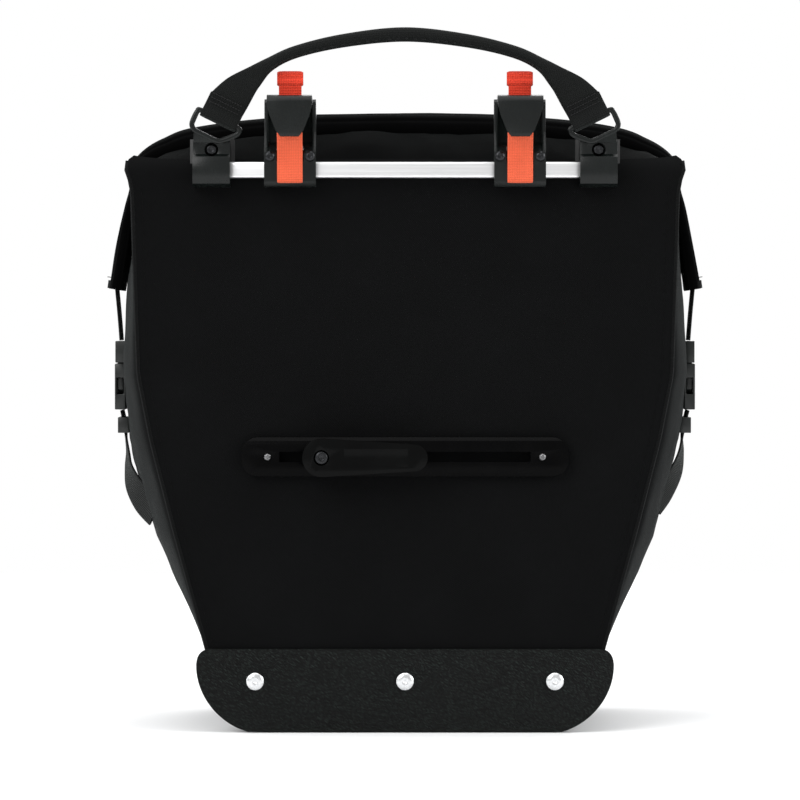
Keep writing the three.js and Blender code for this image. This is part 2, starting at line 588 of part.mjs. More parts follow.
// The folded and stitched end of the webbing, round the bracket's bar.
function handleEnd() {
  const half = [[0, -3.1], [2.2, -2.7], [3.5, -0.8], [3.2, 1.6], [1.7, 4.6], [1.7, 6.2]];
  const outer = mirrored(half);
  const eye = [[-1.6, -1.5], [1.6, -1.5], [1.9, -0.8], [1.9, 1.4], [1.2, 2.2], [-1.2, 2.2], [-1.9, 1.4],
    [-1.9, -0.8]];
  return cut(prism("x", outer, -12.4, 12.4), prism("x", eye, -20, 20));
}

function addHandle() {
  const base = groupAt(0, RAIL.y + LOOP.y, 0);
  add("handle_webbing", handleWebbing(), webbing, base);
  add("handle_core", handleCore(), fabric, base);
  for (const [name, side] of [["left", -1], ["right", 1]]) {
    const end = groupAt(side * (BRACKET_X - LOOP.x), 0, HANDLE_PIVOT_Z, base);
    end.scale.x = -side;
    add(`handle_end_${name}`, handleEnd(), webbing, end).rotation.y = LOOP.tilt;
  }
}

// ---- Side straps and their side-release buckles, modelled on the right ----
function buckleSocket() {
  const { x, thick, half, low, mid } = BUCKLE;
  const [inner, outer] = [x - thick / 2, x + thick / 2];
  const shell = block([inner, outer], [-half, half], [low, mid]);
  const cavity = block([inner + 1.3, outer - 1.3], [-half + 2.4, half - 2.4], [low + 7, mid + 1]);
  const windows = block([inner + 1.3, outer - 1.3], [-half - 1, half + 1], [low + 10, mid - 9]);
  const eye = block([inner + 2, outer + 1], [-half + 2.2, half - 2.2], [low + 2.4, low + 5]);
  return cut(shell, cavity, windows, eye);
}

function bucklePlug() {
  const { x, thick, half, low, mid, high } = BUCKLE;
  const [inner, outer] = [x - thick / 2 + 0.3, x + thick / 2 - 0.3];
  const head = block([inner, outer], [1 - half, half - 1], [mid + 0.6, high]);
  const eye = block([inner - 1, outer + 1], [3 - half, half - 3], [high - 5.4, high - 2.6]);
  const prong = (side) => prism("x", [[side * 8.2, mid + 1], [side * 11.6, mid + 1], [side * 11.6, low + 24],
    [side * 12.3, low + 19], [side * 12.3, low + 13], [side * 9.4, low + 9.6], [side * 8.2, low + 11]],
    x - 1.8, x + 1.8);
  const guide = block([x - 1.6, x + 1.6], [-2.2, 2.2], [low + 9, mid + 1]);
  return join(cut(head, eye), prong(1), prong(-1), guide);
}

// The slotted adjuster that the lower strap runs through, with its middle at height z.
function ladderLock([x, z]) {
  const clear = STRAP_HALF + 0.5;
  const frame = block([x - 3.2, x + 3.8], [-clear - 1.8, clear + 1.8], [z - 5, z + 5]);
  const channel = block([x - 1.8, x + 2.4], [-clear, clear], [z - 6, z + 6]);
  const slots = [-2, 2].map((up) => block([x - 4, x + 5], [-clear, clear], [z + up - 1, z + up + 1]));
  return cut(frame, channel, ...slots);
}

function upperStrap() {
  const line = [[BUCKLE.x, BUCKLE.high + GAP], [184, 262], [185.6, 279.6]];
  return prism("y", band(line, WEBBING), -STRAP_HALF, STRAP_HALF);
}

function lowerStrap(route) {
  return prism("y", band(route, WEBBING), -STRAP_HALF, STRAP_HALF);
}

function addSideStraps(name, side) {
  const straps = groupAt(0, ROLL_Y, 0);
  straps.scale.x = side;
  add(`upper_strap_${name}`, upperStrap(), webbing, straps);
  add(`buckle_plug_${name}`, bucklePlug(), nylon, straps);
  add(`buckle_socket_${name}`, buckleSocket(), nylon, straps);
  add(`ladder_lock_${name}`, ladderLock(LOWER_STRAP[name][1]), nylon, straps);
  add(`lower_strap_${name}`, lowerStrap(LOWER_STRAP[name]), webbing, straps);
}

// ---- Assembly ----
add("back_panel", backPanel(), fabric);
add("stiffener_sheet", stiffener(), plasticSheet);
add("front_panel", frontPanel(), fabric);
add("gusset_right", gusset(), fabric);
add("gusset_left", gusset(), fabric).scale.x = -1;
add("bottom_panel", bottomPanel(), fabric);
add("top_collar", topCollar(), fabric);
add("roll_closure", rollClosure(), fabric);
addGuard();
addRail();
addHook("left", -HOOK_X);
addHook("right", HOOK_X);
addTrack();
addHandle();
addSideStraps("left", -1);
addSideStraps("right", 1);

export default group;
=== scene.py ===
"""A roll-top bicycle pannier, dressed in cloth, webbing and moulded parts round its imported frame."""

import json
import math

import bmesh
import bpy
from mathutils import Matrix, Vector, noise
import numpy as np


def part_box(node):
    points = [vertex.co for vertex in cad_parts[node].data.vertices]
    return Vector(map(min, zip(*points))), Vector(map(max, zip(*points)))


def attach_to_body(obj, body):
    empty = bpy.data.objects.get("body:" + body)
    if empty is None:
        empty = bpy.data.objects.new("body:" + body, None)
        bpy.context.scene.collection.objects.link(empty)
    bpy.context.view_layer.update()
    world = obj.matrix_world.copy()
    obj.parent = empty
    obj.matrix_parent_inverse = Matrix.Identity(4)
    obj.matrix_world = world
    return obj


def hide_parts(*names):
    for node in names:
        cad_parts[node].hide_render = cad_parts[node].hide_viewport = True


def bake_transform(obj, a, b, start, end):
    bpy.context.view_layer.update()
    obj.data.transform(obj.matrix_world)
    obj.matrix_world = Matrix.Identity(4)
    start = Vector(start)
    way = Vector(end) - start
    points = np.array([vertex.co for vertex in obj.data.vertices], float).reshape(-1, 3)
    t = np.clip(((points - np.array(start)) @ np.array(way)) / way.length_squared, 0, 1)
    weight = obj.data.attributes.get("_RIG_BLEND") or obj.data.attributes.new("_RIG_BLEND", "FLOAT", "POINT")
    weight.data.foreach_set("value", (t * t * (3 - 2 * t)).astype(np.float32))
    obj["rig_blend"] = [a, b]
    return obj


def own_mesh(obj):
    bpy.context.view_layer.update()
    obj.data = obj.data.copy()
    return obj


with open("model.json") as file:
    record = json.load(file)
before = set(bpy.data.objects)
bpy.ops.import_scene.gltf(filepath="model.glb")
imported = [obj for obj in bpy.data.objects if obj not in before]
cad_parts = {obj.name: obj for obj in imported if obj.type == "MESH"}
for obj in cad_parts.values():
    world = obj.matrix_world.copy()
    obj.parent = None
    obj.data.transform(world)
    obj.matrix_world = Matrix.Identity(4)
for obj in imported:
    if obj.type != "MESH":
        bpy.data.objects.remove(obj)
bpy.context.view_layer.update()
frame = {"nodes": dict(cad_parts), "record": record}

MM = 0.001
SIDES = (("left", -1), ("right", 1))


def middle(node):
    """The middle of a CAD node's box, in millimetres, to a tenth."""
    low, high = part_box(node)
    return [round((a + b) / 2 / MM, 1) for a, b in zip(low, high)]


# ---- The frame's own measures, in millimetres ----
BACK_Y = round(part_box("back_panel")[0][1] / MM, 1)
FRONT_Y = -BACK_Y
_, RAIL_Y, RAIL_Z = middle("rail")
HANDLE_Y = RAIL_Y - 6
ROLL_Y = middle("roll_closure")[1]
HOOK_X = middle("hook_body_right")[0]
BUCKLE_X = middle("buckle_socket_right")[0]
PANEL_TOP = 361
EAR_FOOT_Z = 279.4  # where each upper strap comes out of its folded-down roll end

# ---- The cloth's outlines, in millimetres ----
# Half the width at the seams, the gussets' fullness and the front's fullness, each as (height, value)
SEAM = [(3, 106), (30, 119), (127, 145.5), (184, 160), (225, 168), (300, 170.5), (335, 171.5), (346, 172.4),
        (351, 174.4), (355, 175.6), (359, 175.3), (361.5, 173.8), (363.5, 171)]
BULGE = [(3, 2), (52, 3.5), (83, 10), (121, 17), (168, 18), (200, 17), (240, 14.5), (262, 11), (300, 5), (361, 0)]
SWELL = [(3, 0), (60, 1), (140, 9), (300, 9), (361, 2)]
# Middle of the roll as (out from the bag's middle, height, thickness), and of the handle with its width too
ROLL_PATH = [(0, 381.6, 22.4), (70, 380.2, 22), (130, 374.4, 20.5), (152, 368.4, 17.5), (165.8, 361.2, 14),
             (172.8, 353, 9.5), (174, 344, 6), (177, 329, 7.5), (181.4, 303, 9.4), (185.4, 279, 10)]
HANDLE_PATH = [(112.2, 393.6, 25, 3.2), (104.4, 403, 21, 3.6), (95.4, 411.4, 14, 5), (85, 419.6, 8.2, 7.2),
               (68, 427.6, 7.4, 7.4), (38, 434.6, 8, 8), (0, 438.4, 8.6, 8.6)]
BAR = (116.25, 385.2, 0.452)  # middle of the bracket's bar and its slant
# Middle of the strap (out from the bag's middle, y, z), then its width direction
LOWER_STRAP = {
    "left": [(182.4, -15, 201.4, 0, 1, 0), (180.6, -15, 192, 0, 1, 0), (179.8, -15.5, 183, 0.07, 1, 0),
             (178.6, -17, 174, 0.13, 1, 0), (178, -20, 165, 0.24, 0.97, -0.1),
             (174.6, -26, 154, 0.42, 0.85, -0.3), (167.4, -34, 143.5, 0.45, 0.7, -0.5),
             (160, -42, 136, 0.3, 0.65, -0.65)],
    "right": [(182.4, -15, 201.4, 0, 1, 0), (180, -15, 192, 0, 1, 0), (178.9, -15.5, 184, 0.05, 1, 0),
              (178, -17, 174, 0.2, 1, 0), (174.5, -22, 162, 0.35, 0.9, -0.2), (166.5, -32, 150, 0.4, 0.75, -0.4),
              (160, -40, 142, 0.3, 0.7, -0.6)],
}


def at(table, key):
    """The value of a (key, value) table at key, by straight lines."""
    if key <= table[0][0]:
        return table[0][1]
    for (k0, v0), (k1, v1) in zip(table, table[1:]):
        if key <= k1:
            return v0 + (v1 - v0) * (key - k0) / (k1 - k0)
    return table[-1][1]


def ease(t):
    """From 0 to 1 with a soft start and end."""
    t = min(max(t, 0.0), 1.0)
    return t * t * (3 - 2 * t)


def squared(value, power):
    """value with its size raised to a power, for rounded-square sections."""
    return math.copysign(abs(value) ** power, value)


# ---- Mesh helpers. Shapes are written in millimetres, and scaled once in mesh_piece. ----
def mesh_piece(name, points, faces, corners, material, smooth_angle=40):
    """An object made from points and faces, with one cloth coordinate to each face corner."""
    mesh = bpy.data.meshes.new(name)
    mesh.from_pydata([Vector(p) * MM for p in points], [], faces)
    if corners:
        layer = mesh.uv_layers.new(name="cloth")
        layer.data.foreach_set("uv", [value * MM for corner in corners for value in corner])
    mesh.materials.append(material)
    mesh.shade_smooth()
    mesh.set_sharp_from_angle(angle=math.radians(smooth_angle))
    piece = bpy.data.objects.new(name, mesh)
    bpy.context.scene.collection.objects.link(piece)
    return piece


def settle(piece, smooth_angle=40):
    """Turns the piece's modifiers into mesh."""
    graph = bpy.context.evaluated_depsgraph_get()
    made = bpy.data.meshes.new_from_object(piece.evaluated_get(graph))
    piece.modifiers.clear()
    piece.data = made
    made.shade_smooth()
    made.set_sharp_from_angle(angle=math.radians(smooth_angle))
    return piece


def thicken(piece, thick, offset=-1.0, smooth_angle=40):
    """Gives a surface its thickness: inwards at offset -1, and both ways at 0."""
    skin = piece.modifiers.new("skin", "SOLIDIFY")
    skin.thickness = thick * MM
    skin.offset = offset
    settle(piece, smooth_angle)


def round_edges(piece, width, segments, from_angle, smooth_angle):
    """Rounds every edge that turns by more than from_angle degrees."""
    rounding = piece.modifiers.new("rounding", "BEVEL")
    rounding.width = width * MM
    rounding.segments = segments
    rounding.limit_method = "ANGLE"
    rounding.angle_limit = math.radians(from_angle)
    settle(piece, smooth_angle)


def attach(piece, body, slot, *nodes):
    """Makes piece ride on a body, in place of any CAD nodes. The slot argument is not used."""
    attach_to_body(piece, body)
    if nodes:
        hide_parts(*nodes)


def grid(name, rows, cols, point, uv, material, wrap=False, cap=False, smooth_angle=40):
    """A mesh of rows by cols quads. wrap closes each row on itself, and cap closes the first and last rows."""
    across = cols if wrap else cols + 1
    points = [point(i, j) for i in range(rows + 1) for j in range(across)]
    faces, corners = [], []
    for i in range(rows):
        for j in range(cols):
            quad = [(i, j), (i, j + 1), (i + 1, j + 1), (i + 1, j)]
            faces.append([a * across + b % across for a, b in quad])
            corners += [uv(a, b) for a, b in quad]
    if cap:
        for row, order in ((0, range(across)), (rows, reversed(range(across)))):
            face = [row * across + j for j in order]
            faces.append(face)
            corners += [uv(row, j % across) for j in range(across)]
    return mesh_piece(name, points, faces, corners, material, smooth_angle)


def curve_through(points, steps):
    """A smooth line through tuples of any length, with steps points to each gap."""
    line = []
    for k in range(len(points) - 1):
        p0, p1 = points[max(k - 1, 0)], points[k]
        p2, p3 = points[k + 1], points[min(k + 2, len(points) - 1)]
        for s in range(steps):
            t = s / steps
            line.append(tuple(
                0.5 * (2 * b + (c - a) * t + (2 * a - 5 * b + 4 * c - d) * t * t
                       + (3 * b - a - 3 * c + d) * t ** 3)
                for a, b, c, d in zip(p0, p1, p2, p3)))
    line.append(tuple(points[-1]))
    return line


def flat_oval(count, half_wide, half_thick, square=0.3):
    """Corners of a rounded, flattened section."""
    loop = []
    for k in range(count):
        angle = 2 * math.pi * (k + 0.5) / count
        c, s = math.cos(angle), math.sin(angle)
        loop.append((squared(c, square) * half_wide,
                     squared(s, square) * half_thick))
    return loop


def sweep(name, line, side_of, section, material, smooth_angle=50):
    """A solid along line. side_of(i) is its width direction, and section(i) its corners across and out."""
    centres = [Vector(p) for p in line]
    lengths = [0.0]
    for a, b in zip(centres, centres[1:]):
        lengths.append(lengths[-1] + (b - a).length)
    frames = []
    for i, centre in enumerate(centres):
        ahead = (centres[min(i + 1, len(centres) - 1)] - centres[max(i - 1, 0)]).normalized()
        side = Vector(side_of(i)).normalized()
        frames.append((centre, side, side.cross(ahead).normalized()))
    sections = [section(i) for i in range(len(centres))]
    count = len(sections[0])
    around = [[0.0] for _ in sections]
    for i, loop in enumerate(sections):
        for j in range(count):
            a, b = loop[j], loop[(j + 1) % count]
            around[i].append(around[i][-1] + math.hypot(b[0] - a[0], b[1] - a[1]))

    def point(i, j):
        centre, side, out = frames[i]
        a, b = sections[i][j]
        return centre + side * a + out * b

    return grid(name, len(centres) - 1, count, point, lambda i, j: (around[i][j], lengths[i]),
                material, wrap=True, cap=True, smooth_angle=smooth_angle)


def facing_out(piece):
    """Turns the faces outwards."""
    bm = bmesh.new()
    bm.from_mesh(piece.data)
    bmesh.ops.recalc_face_normals(bm, faces=bm.faces)
    bm.to_mesh(piece.data)
    bm.free()
    return piece


def webbing(name, line, side, width, thick, material):
    """A woven strap along line, with softly rounded edges."""
    section = flat_oval(22, width / 2, thick / 2, 0.34)
    return facing_out(sweep(name, line, lambda i: side, lambda i: section, material))


def stitches(name, runs, out, material, length=2.2, gap=1.0, wide=0.55):
    """Rows of thread, each run a pair of end points, raised along out."""
    points, faces = [], []
    for start, end in runs:
        start, end = Vector(start), Vector(end)
        run = end - start
        along = run.normalized()
        up = Vector(out).normalized()
        across = along.cross(up).normalized()
        for k in range(max(int(run.length / (length + gap)), 1)):
            base = start + along * (k * (length + gap))
            first = len(points)
            for t, grow in ((0, 0.35), (0.25, 1), (0.75, 1), (1, 0.35)):
                middle = base + along * (length * t)
                for a, b in ((-1, 0), (-0.6, 0.8), (0.6, 0.8), (1, 0)):
                    points.append(middle + across * (a * wide / 2 * grow) + up * (b * wide / 2 * grow))
            for ring in range(3):
                for j in range(4):
                    a = first + ring * 4 + j
                    b = first + ring * 4 + (j + 1) % 4
                    faces.append([a, b, b + 4, a + 4])
            faces.append([first + j for j in (3, 2, 1, 0)])
            faces.append([first + 12 + j for j in range(4)])
    return facing_out(mesh_piece(name, points, faces, None, material))


def turned(name, profile, x, z, material, count=48):
    """A round piece about a line along Y at (x, z), from (radius, y) points."""
    def point(i, j):
        r, y = profile[i]
        angle = 2 * math.pi * j / count
        return x + r * math.cos(angle), y, z + r * math.sin(angle)

    piece = grid(name, len(profile) - 1, count, point, lambda i, j: (j, i), material, wrap=True, cap=True)
    return facing_out(piece)


def refine(node, material, bevel=0.35, smooth_angle=32):
    """A copy of a hard CAD node with its facets merged and its edges rounded, which stands for it."""
    bm = bmesh.new()
    bm.from_mesh(frame["nodes"][node].data)
    bmesh.ops.remove_doubles(bm, verts=bm.verts, dist=1e-5)
    bmesh.ops.dissolve_limit(bm, angle_limit=math.radians(1), verts=bm.verts, edges=bm.edges)
    mesh = bpy.data.meshes.new(node + "_finish")
    bm.to_mesh(mesh)
    bm.free()
    for layer in list(mesh.uv_layers):
        mesh.uv_layers.remove(layer)
    for extra in [a.name for a in mesh.attributes if a.name in ("custom_normal", "sharp_face", "sharp_edge")]:
        mesh.attributes.remove(mesh.attributes[extra])
    mesh.materials.clear()
    mesh.materials.append(material)
    piece = bpy.data.objects.new(node + "_finish", mesh)
    bpy.context.scene.collection.objects.link(piece)
    round_edges(piece, bevel, 2, 26, smooth_angle)
    body = next(name for name, nodes in frame["record"]["behaviour"]["bodies"].items() if node in nodes)
    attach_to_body(piece, body)
    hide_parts(node)
    return piece


# ---- Materials ----
class Look:
    """A Principled material with helpers for its pattern nodes."""

    def __init__(self, name, rough, metal=0.0, specular=0.5):
        self.material = bpy.data.materials.new(name)
        self.material.use_nodes = True
        self.tree = self.material.node_tree
        self.shader = self.tree.nodes["Principled BSDF"]
        self.set("Metallic", metal)
        self.set("Roughness", rough)
        self.set("Specular IOR Level", specular)

    def sheen(self, weight, rough):
        self.set("Sheen Weight", weight)
        self.set("Sheen Roughness", rough)
        self.set("Sheen Tint", (0.82, 0.92, 0.9, 1.0))

    def set(self, socket, value):
        self.shader.inputs[socket].default_value = value

    def node(self, kind, inputs=None, **settings):
        made = self.tree.nodes.new(kind)
        for key, value in settings.items():
            setattr(made, key, value)
        for key, value in (inputs or {}).items():
            if isinstance(value, bpy.types.NodeSocket):
                self.tree.links.new(value, made.inputs[key])
            else:
                made.inputs[key].default_value = value
        return made

    def maths(self, operation, a, b=0.0):
        return self.node("ShaderNodeMath", {0: a, 1: b}, operation=operation).outputs[0]

    def cloth(self):
        """The strap's own coordinates, across and along, in millimetres."""
        uv = self.node("ShaderNodeUVMap", uv_map="cloth").outputs[0]
        split = self.node("ShaderNodeSeparateXYZ", {0: uv})
        return [self.maths("MULTIPLY", split.outputs[k], 1000.0) for k in (0, 1)]

    def place(self, scale=(1000.0, 1000.0, 1000.0), turn=(0, 0, 0)):
        """The object's own coordinates, in millimetres times scale / 1000."""
        where = self.node("ShaderNodeTexCoord").outputs["Object"]
        return self.node("ShaderNodeMapping", {0: where, "Scale": scale, "Rotation": turn}).outputs[0]

    def wave(self, value, period, shift=0.0):
        angle = self.maths("MULTIPLY_ADD", value, 2 * math.pi / period)
        angle.node.inputs[2].default_value = shift
        return self.maths("SINE", angle)

    def noise(self, where, scale, detail=4.0, rough=0.55):
        made = self.node("ShaderNodeTexNoise", {"Vector": where, "Scale": scale, "Detail": detail,
                                               "Roughness": rough})
        return made.outputs[0]

    def ramp(self, value, stops):
        made = self.node("ShaderNodeValToRGB", {0: value})
        while len(made.color_ramp.elements) < len(stops):
            made.color_ramp.elements.new(0.5)
        for element, (position, color) in zip(made.color_ramp.elements, stops):
            element.position = position
            element.color = (*color, 1.0)
        return made.outputs[0]

    def spread(self, value, low, high):
        """value from 0 to 1, stretched from low to high."""
        made = self.node("ShaderNodeMapRange", {0: value, 3: low, 4: high})
        return made.outputs[0]

    def link(self, value, socket):
        self.tree.links.new(value, self.shader.inputs[socket])

    def bump(self, height, distance, strength=1.0, after=None):
        inputs = {"Height": height, "Distance": distance * MM, "Strength": strength}
        if after is not None:
            inputs["Normal"] = after
        made = self.node("ShaderNodeBump", inputs).outputs[0]
        self.link(made, "Normal")
        return made


def shade(color, factor):
    return tuple(min(c * factor, 1.0) for c in color)


def woven(name, color, pitch, rough=0.85, specular=0.12, contrast=0.35, sheen=0.05):
    """Coated woven fabric: a plain weave, slubs, and soft creases with a little wear."""
    look = Look(name, rough, specular=specular)
    look.sheen(sheen, 0.4)
    across, along = look.cloth()
    weave = look.maths("MULTIPLY", look.wave(across, pitch), look.wave(along, pitch))
    where = look.place()
    slubs = look.noise(where, 0.02, 6.0)
    grain = look.noise(where, 1.4, 3.0)
    tone = look.maths("ADD", look.spread(weave, 0.0, 0.25), look.maths("MULTIPLY", slubs, 0.9))
    look.link(look.ramp(tone, [(0.25, shade(color, 1 - contrast)), (0.6, color),
                               (0.95, shade(color, 1 + 2 * contrast))]), "Base Color")
    look.link(look.spread(slubs, rough - 0.15, min(rough + 0.1, 1.0)), "Roughness")
    first = look.bump(weave, 0.09)
    second = look.bump(grain, 0.05, after=first)
    look.bump(slubs, 1.2, 0.6, after=second)
    return look.material


def ribbed(name, color, rib=1.15, rough=0.75, specular=0.2, contrast=0.3):
    """Woven webbing: ribs across the strap, crossed by its long yarns."""
    look = Look(name, rough, specular=specular)
    look.sheen(0.06, 0.4)
    across, along = look.cloth()
    ribs = look.wave(along, rib)
    yarns = look.wave(across, 1.5)
    height = look.maths("ADD", ribs, look.maths("MULTIPLY", yarns, 0.55))
    fuzz = look.noise(look.place(), 0.9, 5.0)
    patches = look.noise(look.place(), 0.06, 4.0)
    tone = look.maths("ADD", look.spread(height, 0.1, 0.45), look.maths("MULTIPLY", patches, 0.5))
    look.link(look.ramp(tone, [(0.15, shade(color, 1 - contrast)), (0.5, color),
                               (0.85, shade(color, 1 + contrast))]), "Base Color")
    look.link(look.spread(fuzz, rough - 0.1, rough + 0.1), "Roughness")
    first = look.bump(height, 0.16)
    look.bump(fuzz, 0.12, 0.5, after=first)
    return look.material


def moulded(name, color, rough=0.42, grain=0.03, specular=0.4):
    """Moulded nylon: a fine spark grain, faint flow marks and rubbed patches."""
    look = Look(name, rough, specular=specular)
    where = look.place()
    fine = look.noise(where, 2.2, 5.0, 0.6)
    flow = look.noise(look.place((60.0, 60.0, 22.0)), 1.0, 3.0)
    look.link(look.ramp(flow, [(0.3, shade(color, 0.75)), (0.55, color), (0.8, shade(color, 1.5))]), "Base Color")
    rubbed = look.maths("ADD", look.spread(flow, rough - 0.09, rough + 0.07),
                        look.spread(fine, -0.04, 0.04))
    look.link(rubbed, "Roughness")
    look.bump(fine, grain)
    return look.material


def embossed(name, color):
    """Guard sheet with a slanting embossed grain: painted shade darkens its grooves and painted highlight
    brightens its ridges.
    """
    look = Look(name, 0.5, specular=0.13)
    slanted = look.place((1000.0, 1000.0, 1000.0), (0, math.radians(-38), 0))
    stretch = look.node("ShaderNodeMapping", {0: slanted, "Scale": (0.32, 0.9, 1.25)}).outputs[0]
    cells = look.node("ShaderNodeTexVoronoi", {"Vector": stretch, "Scale": 0.9, "Randomness": 1.0},
                      feature="DISTANCE_TO_EDGE").outputs[0]
    ridges = look.ramp(cells, [(0.0, (0, 0, 0)), (0.16, (0.8, 0.8, 0.8)), (0.4, (1, 1, 1))])
    fine = look.noise(look.place(), 1.8, 4.0)
    # painted shade at the cell edges, where the bump sinks the grooves, and painted highlight on the raised cells
    look.link(look.ramp(cells, [(0.0, shade(color, 0.1)), (0.14, color), (0.34, shade(color, 6))]),
              "Base Color")
    look.link(look.spread(fine, 0.4, 0.62), "Roughness")
    first = look.bump(ridges, 0.45)
    look.bump(fine, 0.08, after=first)
    return look.material


def brushed(name, color, rough, stretch, depth=0.02):
    """Metal with fine marks drawn out along one axis."""
    look = Look(name, rough, metal=1.0)
    marks = look.noise(look.place(stretch), 1.0, 6.0, 0.7)
    look.link(look.ramp(marks, [(0.3, shade(color, 0.88)), (0.7, color)]), "Base Color")
    look.link(look.spread(marks, rough - 0.08, rough + 0.12), "Roughness")
    look.bump(marks, depth)
    return look.material


def thread(name, color, specular):
    """Twisted sewing thread."""
    look = Look(name, 0.6, specular=specular)
    twist = look.noise(look.place(), 2.5, 2.0)
    look.link(look.ramp(twist, [(0.35, shade(color, 0.6)), (0.65, color)]), "Base Color")
    look.bump(twist, 0.1)
    return look.material


BLACK = (0.003, 0.0031, 0.0033)
CLOTH = woven("coated_cloth", BLACK, 1.1, specular=0.05)
# darker than the body's cloth: painted shade that offsets the extra light falling on the collar's and roll's
# upward faces
SHADED_COLLAR_CLOTH = woven("collar_cloth_painted_shade", (0.0014, 0.0014, 0.0015), 0.8, rough=0.85, specular=0.02, sheen=0.02)
PIPING = ribbed("piping_tape", (0.0036, 0.0037, 0.0038), 0.9, specular=0.08)
STRAP = ribbed("black_webbing", (0.0048, 0.0052, 0.005), specular=0.12)
HANDLE_STRAP = ribbed("handle_webbing_look", (0.005, 0.0057, 0.0054), 1.0, specular=0.12)
RED_STRAP = ribbed("red_webbing_look", (0.8, 0.052, 0.022), 1.0, rough=0.65, specular=0.25, contrast=0.28)
ORANGE_STRAP = ribbed("orange_red_webbing_look", (0.78, 0.12, 0.05), 1.0, rough=0.65, specular=0.25,
                      contrast=0.25)
NYLON = moulded("black_nylon", (0.0036, 0.005, 0.0047), rough=0.27, specular=0.27)
TRACK_NYLON = moulded("track_nylon", (0.0011, 0.0011, 0.0012), rough=0.28, specular=0.045)
ARM_NYLON = moulded("arm_nylon", (0.0014, 0.0015, 0.0015), rough=0.2, specular=0.075)
BUCKLE_NYLON = moulded("buckle_nylon", (0.0085, 0.0105, 0.0098), rough=0.34, specular=0.4)
GUARD_SHEET = embossed("guard_sheet_look", (0.0019, 0.0026, 0.0023))
RAIL_METAL = brushed("rail_aluminium", (0.95, 0.955, 0.96), 0.32, (12.0, 900.0, 900.0))
STEEL = brushed("bright_steel", (0.8, 0.81, 0.82), 0.24, (500.0, 500.0, 500.0))
DULL_STEEL = brushed("dull_steel", (0.2, 0.2, 0.205), 0.3, (400.0, 400.0, 400.0))
DARK_STEEL = brushed("dark_steel", (0.035, 0.036, 0.038), 0.26, (300.0, 300.0, 300.0))
SHEET_PLASTIC = moulded("stiffener_look", (0.03, 0.03, 0.03), rough=0.6)
STRIP = ribbed("grey_strip", (0.2, 0.205, 0.21), 0.7, rough=0.45, specular=0.4, contrast=0.12)
BLACK_THREAD = thread("black_thread", (0.002, 0.002, 0.002), 0.08)
GREY_THREAD = thread("grey_thread", (0.011, 0.011, 0.0115), 0.2)


# ---- The bag's cloth shell ----
SHELL_ROWS = 150
BACK_COLS = 60
SIDE_COLS = 40
AROUND = 2 * (BACK_COLS + SIDE_COLS)
SHELL_LOW = 5.0


def crease(x, y, z, size):
    """Soft folds: noise drawn out so that its ridges run in long slanting lines."""
    return noise.noise(Vector((x / size, y / size, z / (size * 2.1)))) \
        + 0.5 * noise.noise(Vector((x / size * 2.3 + 7, y / size * 2.3, z / size * 1.7)))


def rim_height(panel, t):
    """The shell's top edge: level on the back and front, dipping at the sides."""
    inner = math.sin(math.pi * t)
    if panel in (0, 2):
        return PANEL_TOP + 2.5 * (1 - inner) ** 8
    return 363.5 - 20.5 * inner ** 0.6


def panel_of(j):
    """Which panel column j is on (0 back, 1 right, 2 front, 3 left), and how far across it, 0 to 1."""
    j %= AROUND
    for panel, count in enumerate((BACK_COLS, SIDE_COLS, BACK_COLS, SIDE_COLS)):
        if j < count:
            return panel, j / count
        j -= count
    return 3, 1.0


def cloth_across(j):
    """How far round the bag column j is, in millimetres of cloth from the back's left edge."""
    panel, t = panel_of(j) if j < AROUND else (3, 1.0)
    start = (0, 330, 490, 820)[panel]
    return start + t * (330 if panel in (0, 2) else 160)


def shell_point(panel, t, z, inset=0.0):
    """The cloth at t across a panel and height z, with its fullness and folds, and inset from its outer face."""
    half = at(SEAM, z) - inset
    calm = ease((z - 45) / 60) * ease((PANEL_TOP - z) / 30)
    edge = math.sin(math.pi * t)
    over = 4.5 * max((z - 351) / 10, 0) ** 2  # the panels' tops turn in towards the roll
    if panel == 0:
        x = (2 * t - 1) * half
        dip = 0.35 + 0.35 * crease(x, 0, z, 70)
        return x, BACK_Y + inset + 0.15 + max(dip, 0) * edge * 1.2 + over, z
    if panel == 2:
        x = (1 - 2 * t) * half
        out = at(SWELL, z) * edge ** 0.8 + 5 * calm * edge ** 0.5 * crease(x, 40, z, 62)
        belly = 2.5 * edge * ease((z - 50) / 50) * ease((190 - z) / 90)
        return x, FRONT_Y - inset - 1.5 + out + belly - over, z
    y = BACK_Y + over + (FRONT_Y - BACK_Y - 2 * over) * (t if panel == 1 else 1 - t)
    sign = 1 if panel == 1 else -1
    out = at(BULGE, z) * edge ** 0.6
    fold = 2.4 * calm * edge ** 0.6 * crease(sign * 30 + 11, y, z, 34)
    pressed = math.exp(-((y - ROLL_Y) / 19) ** 2) * ease((z - 176) / 14)
    limit = 177.6 + 4 * ease((z - 300) / 60) - half
    wide = out + fold
    return sign * (half + wide + (min(wide, limit) - wide) * pressed), y, z


def bag_shell():
    """The back, front and gussets in one sewn skin."""
    def point(i, j):
        panel, t = panel_of(j)
        top = rim_height(panel, t)
        return shell_point(panel, t, SHELL_LOW + (top - SHELL_LOW) * i / SHELL_ROWS)

    shell = grid("bag_shell", SHELL_ROWS, AROUND, point, lambda i, j: (cloth_across(j), 360 * i / SHELL_ROWS),
                 CLOTH, wrap=True, smooth_angle=60)
    facing_out(shell)
    thicken(shell, 1.4, smooth_angle=60)
    attach(shell, "root", "fabric", "back_panel", "front_panel", "gusset_left", "gusset_right")


def bottom_cloth():
    """The bag's floor, which lies on the guard."""
    def point(i, j):
        x = -104 + 208 * i / 20
        y = BACK_Y + 1 + (FRONT_Y - BACK_Y - 2) * j / 16
        return x, y, 4.2 + 0.5 * noise.noise(Vector((x / 30, y / 30, 0)))

    floor = grid("bottom_cloth", 20, 16, point, lambda i, j: (i * 10.4, j * 10), CLOTH)
    thicken(floor, 1.2)
    attach(floor, "root", "fabric", "bottom_panel")


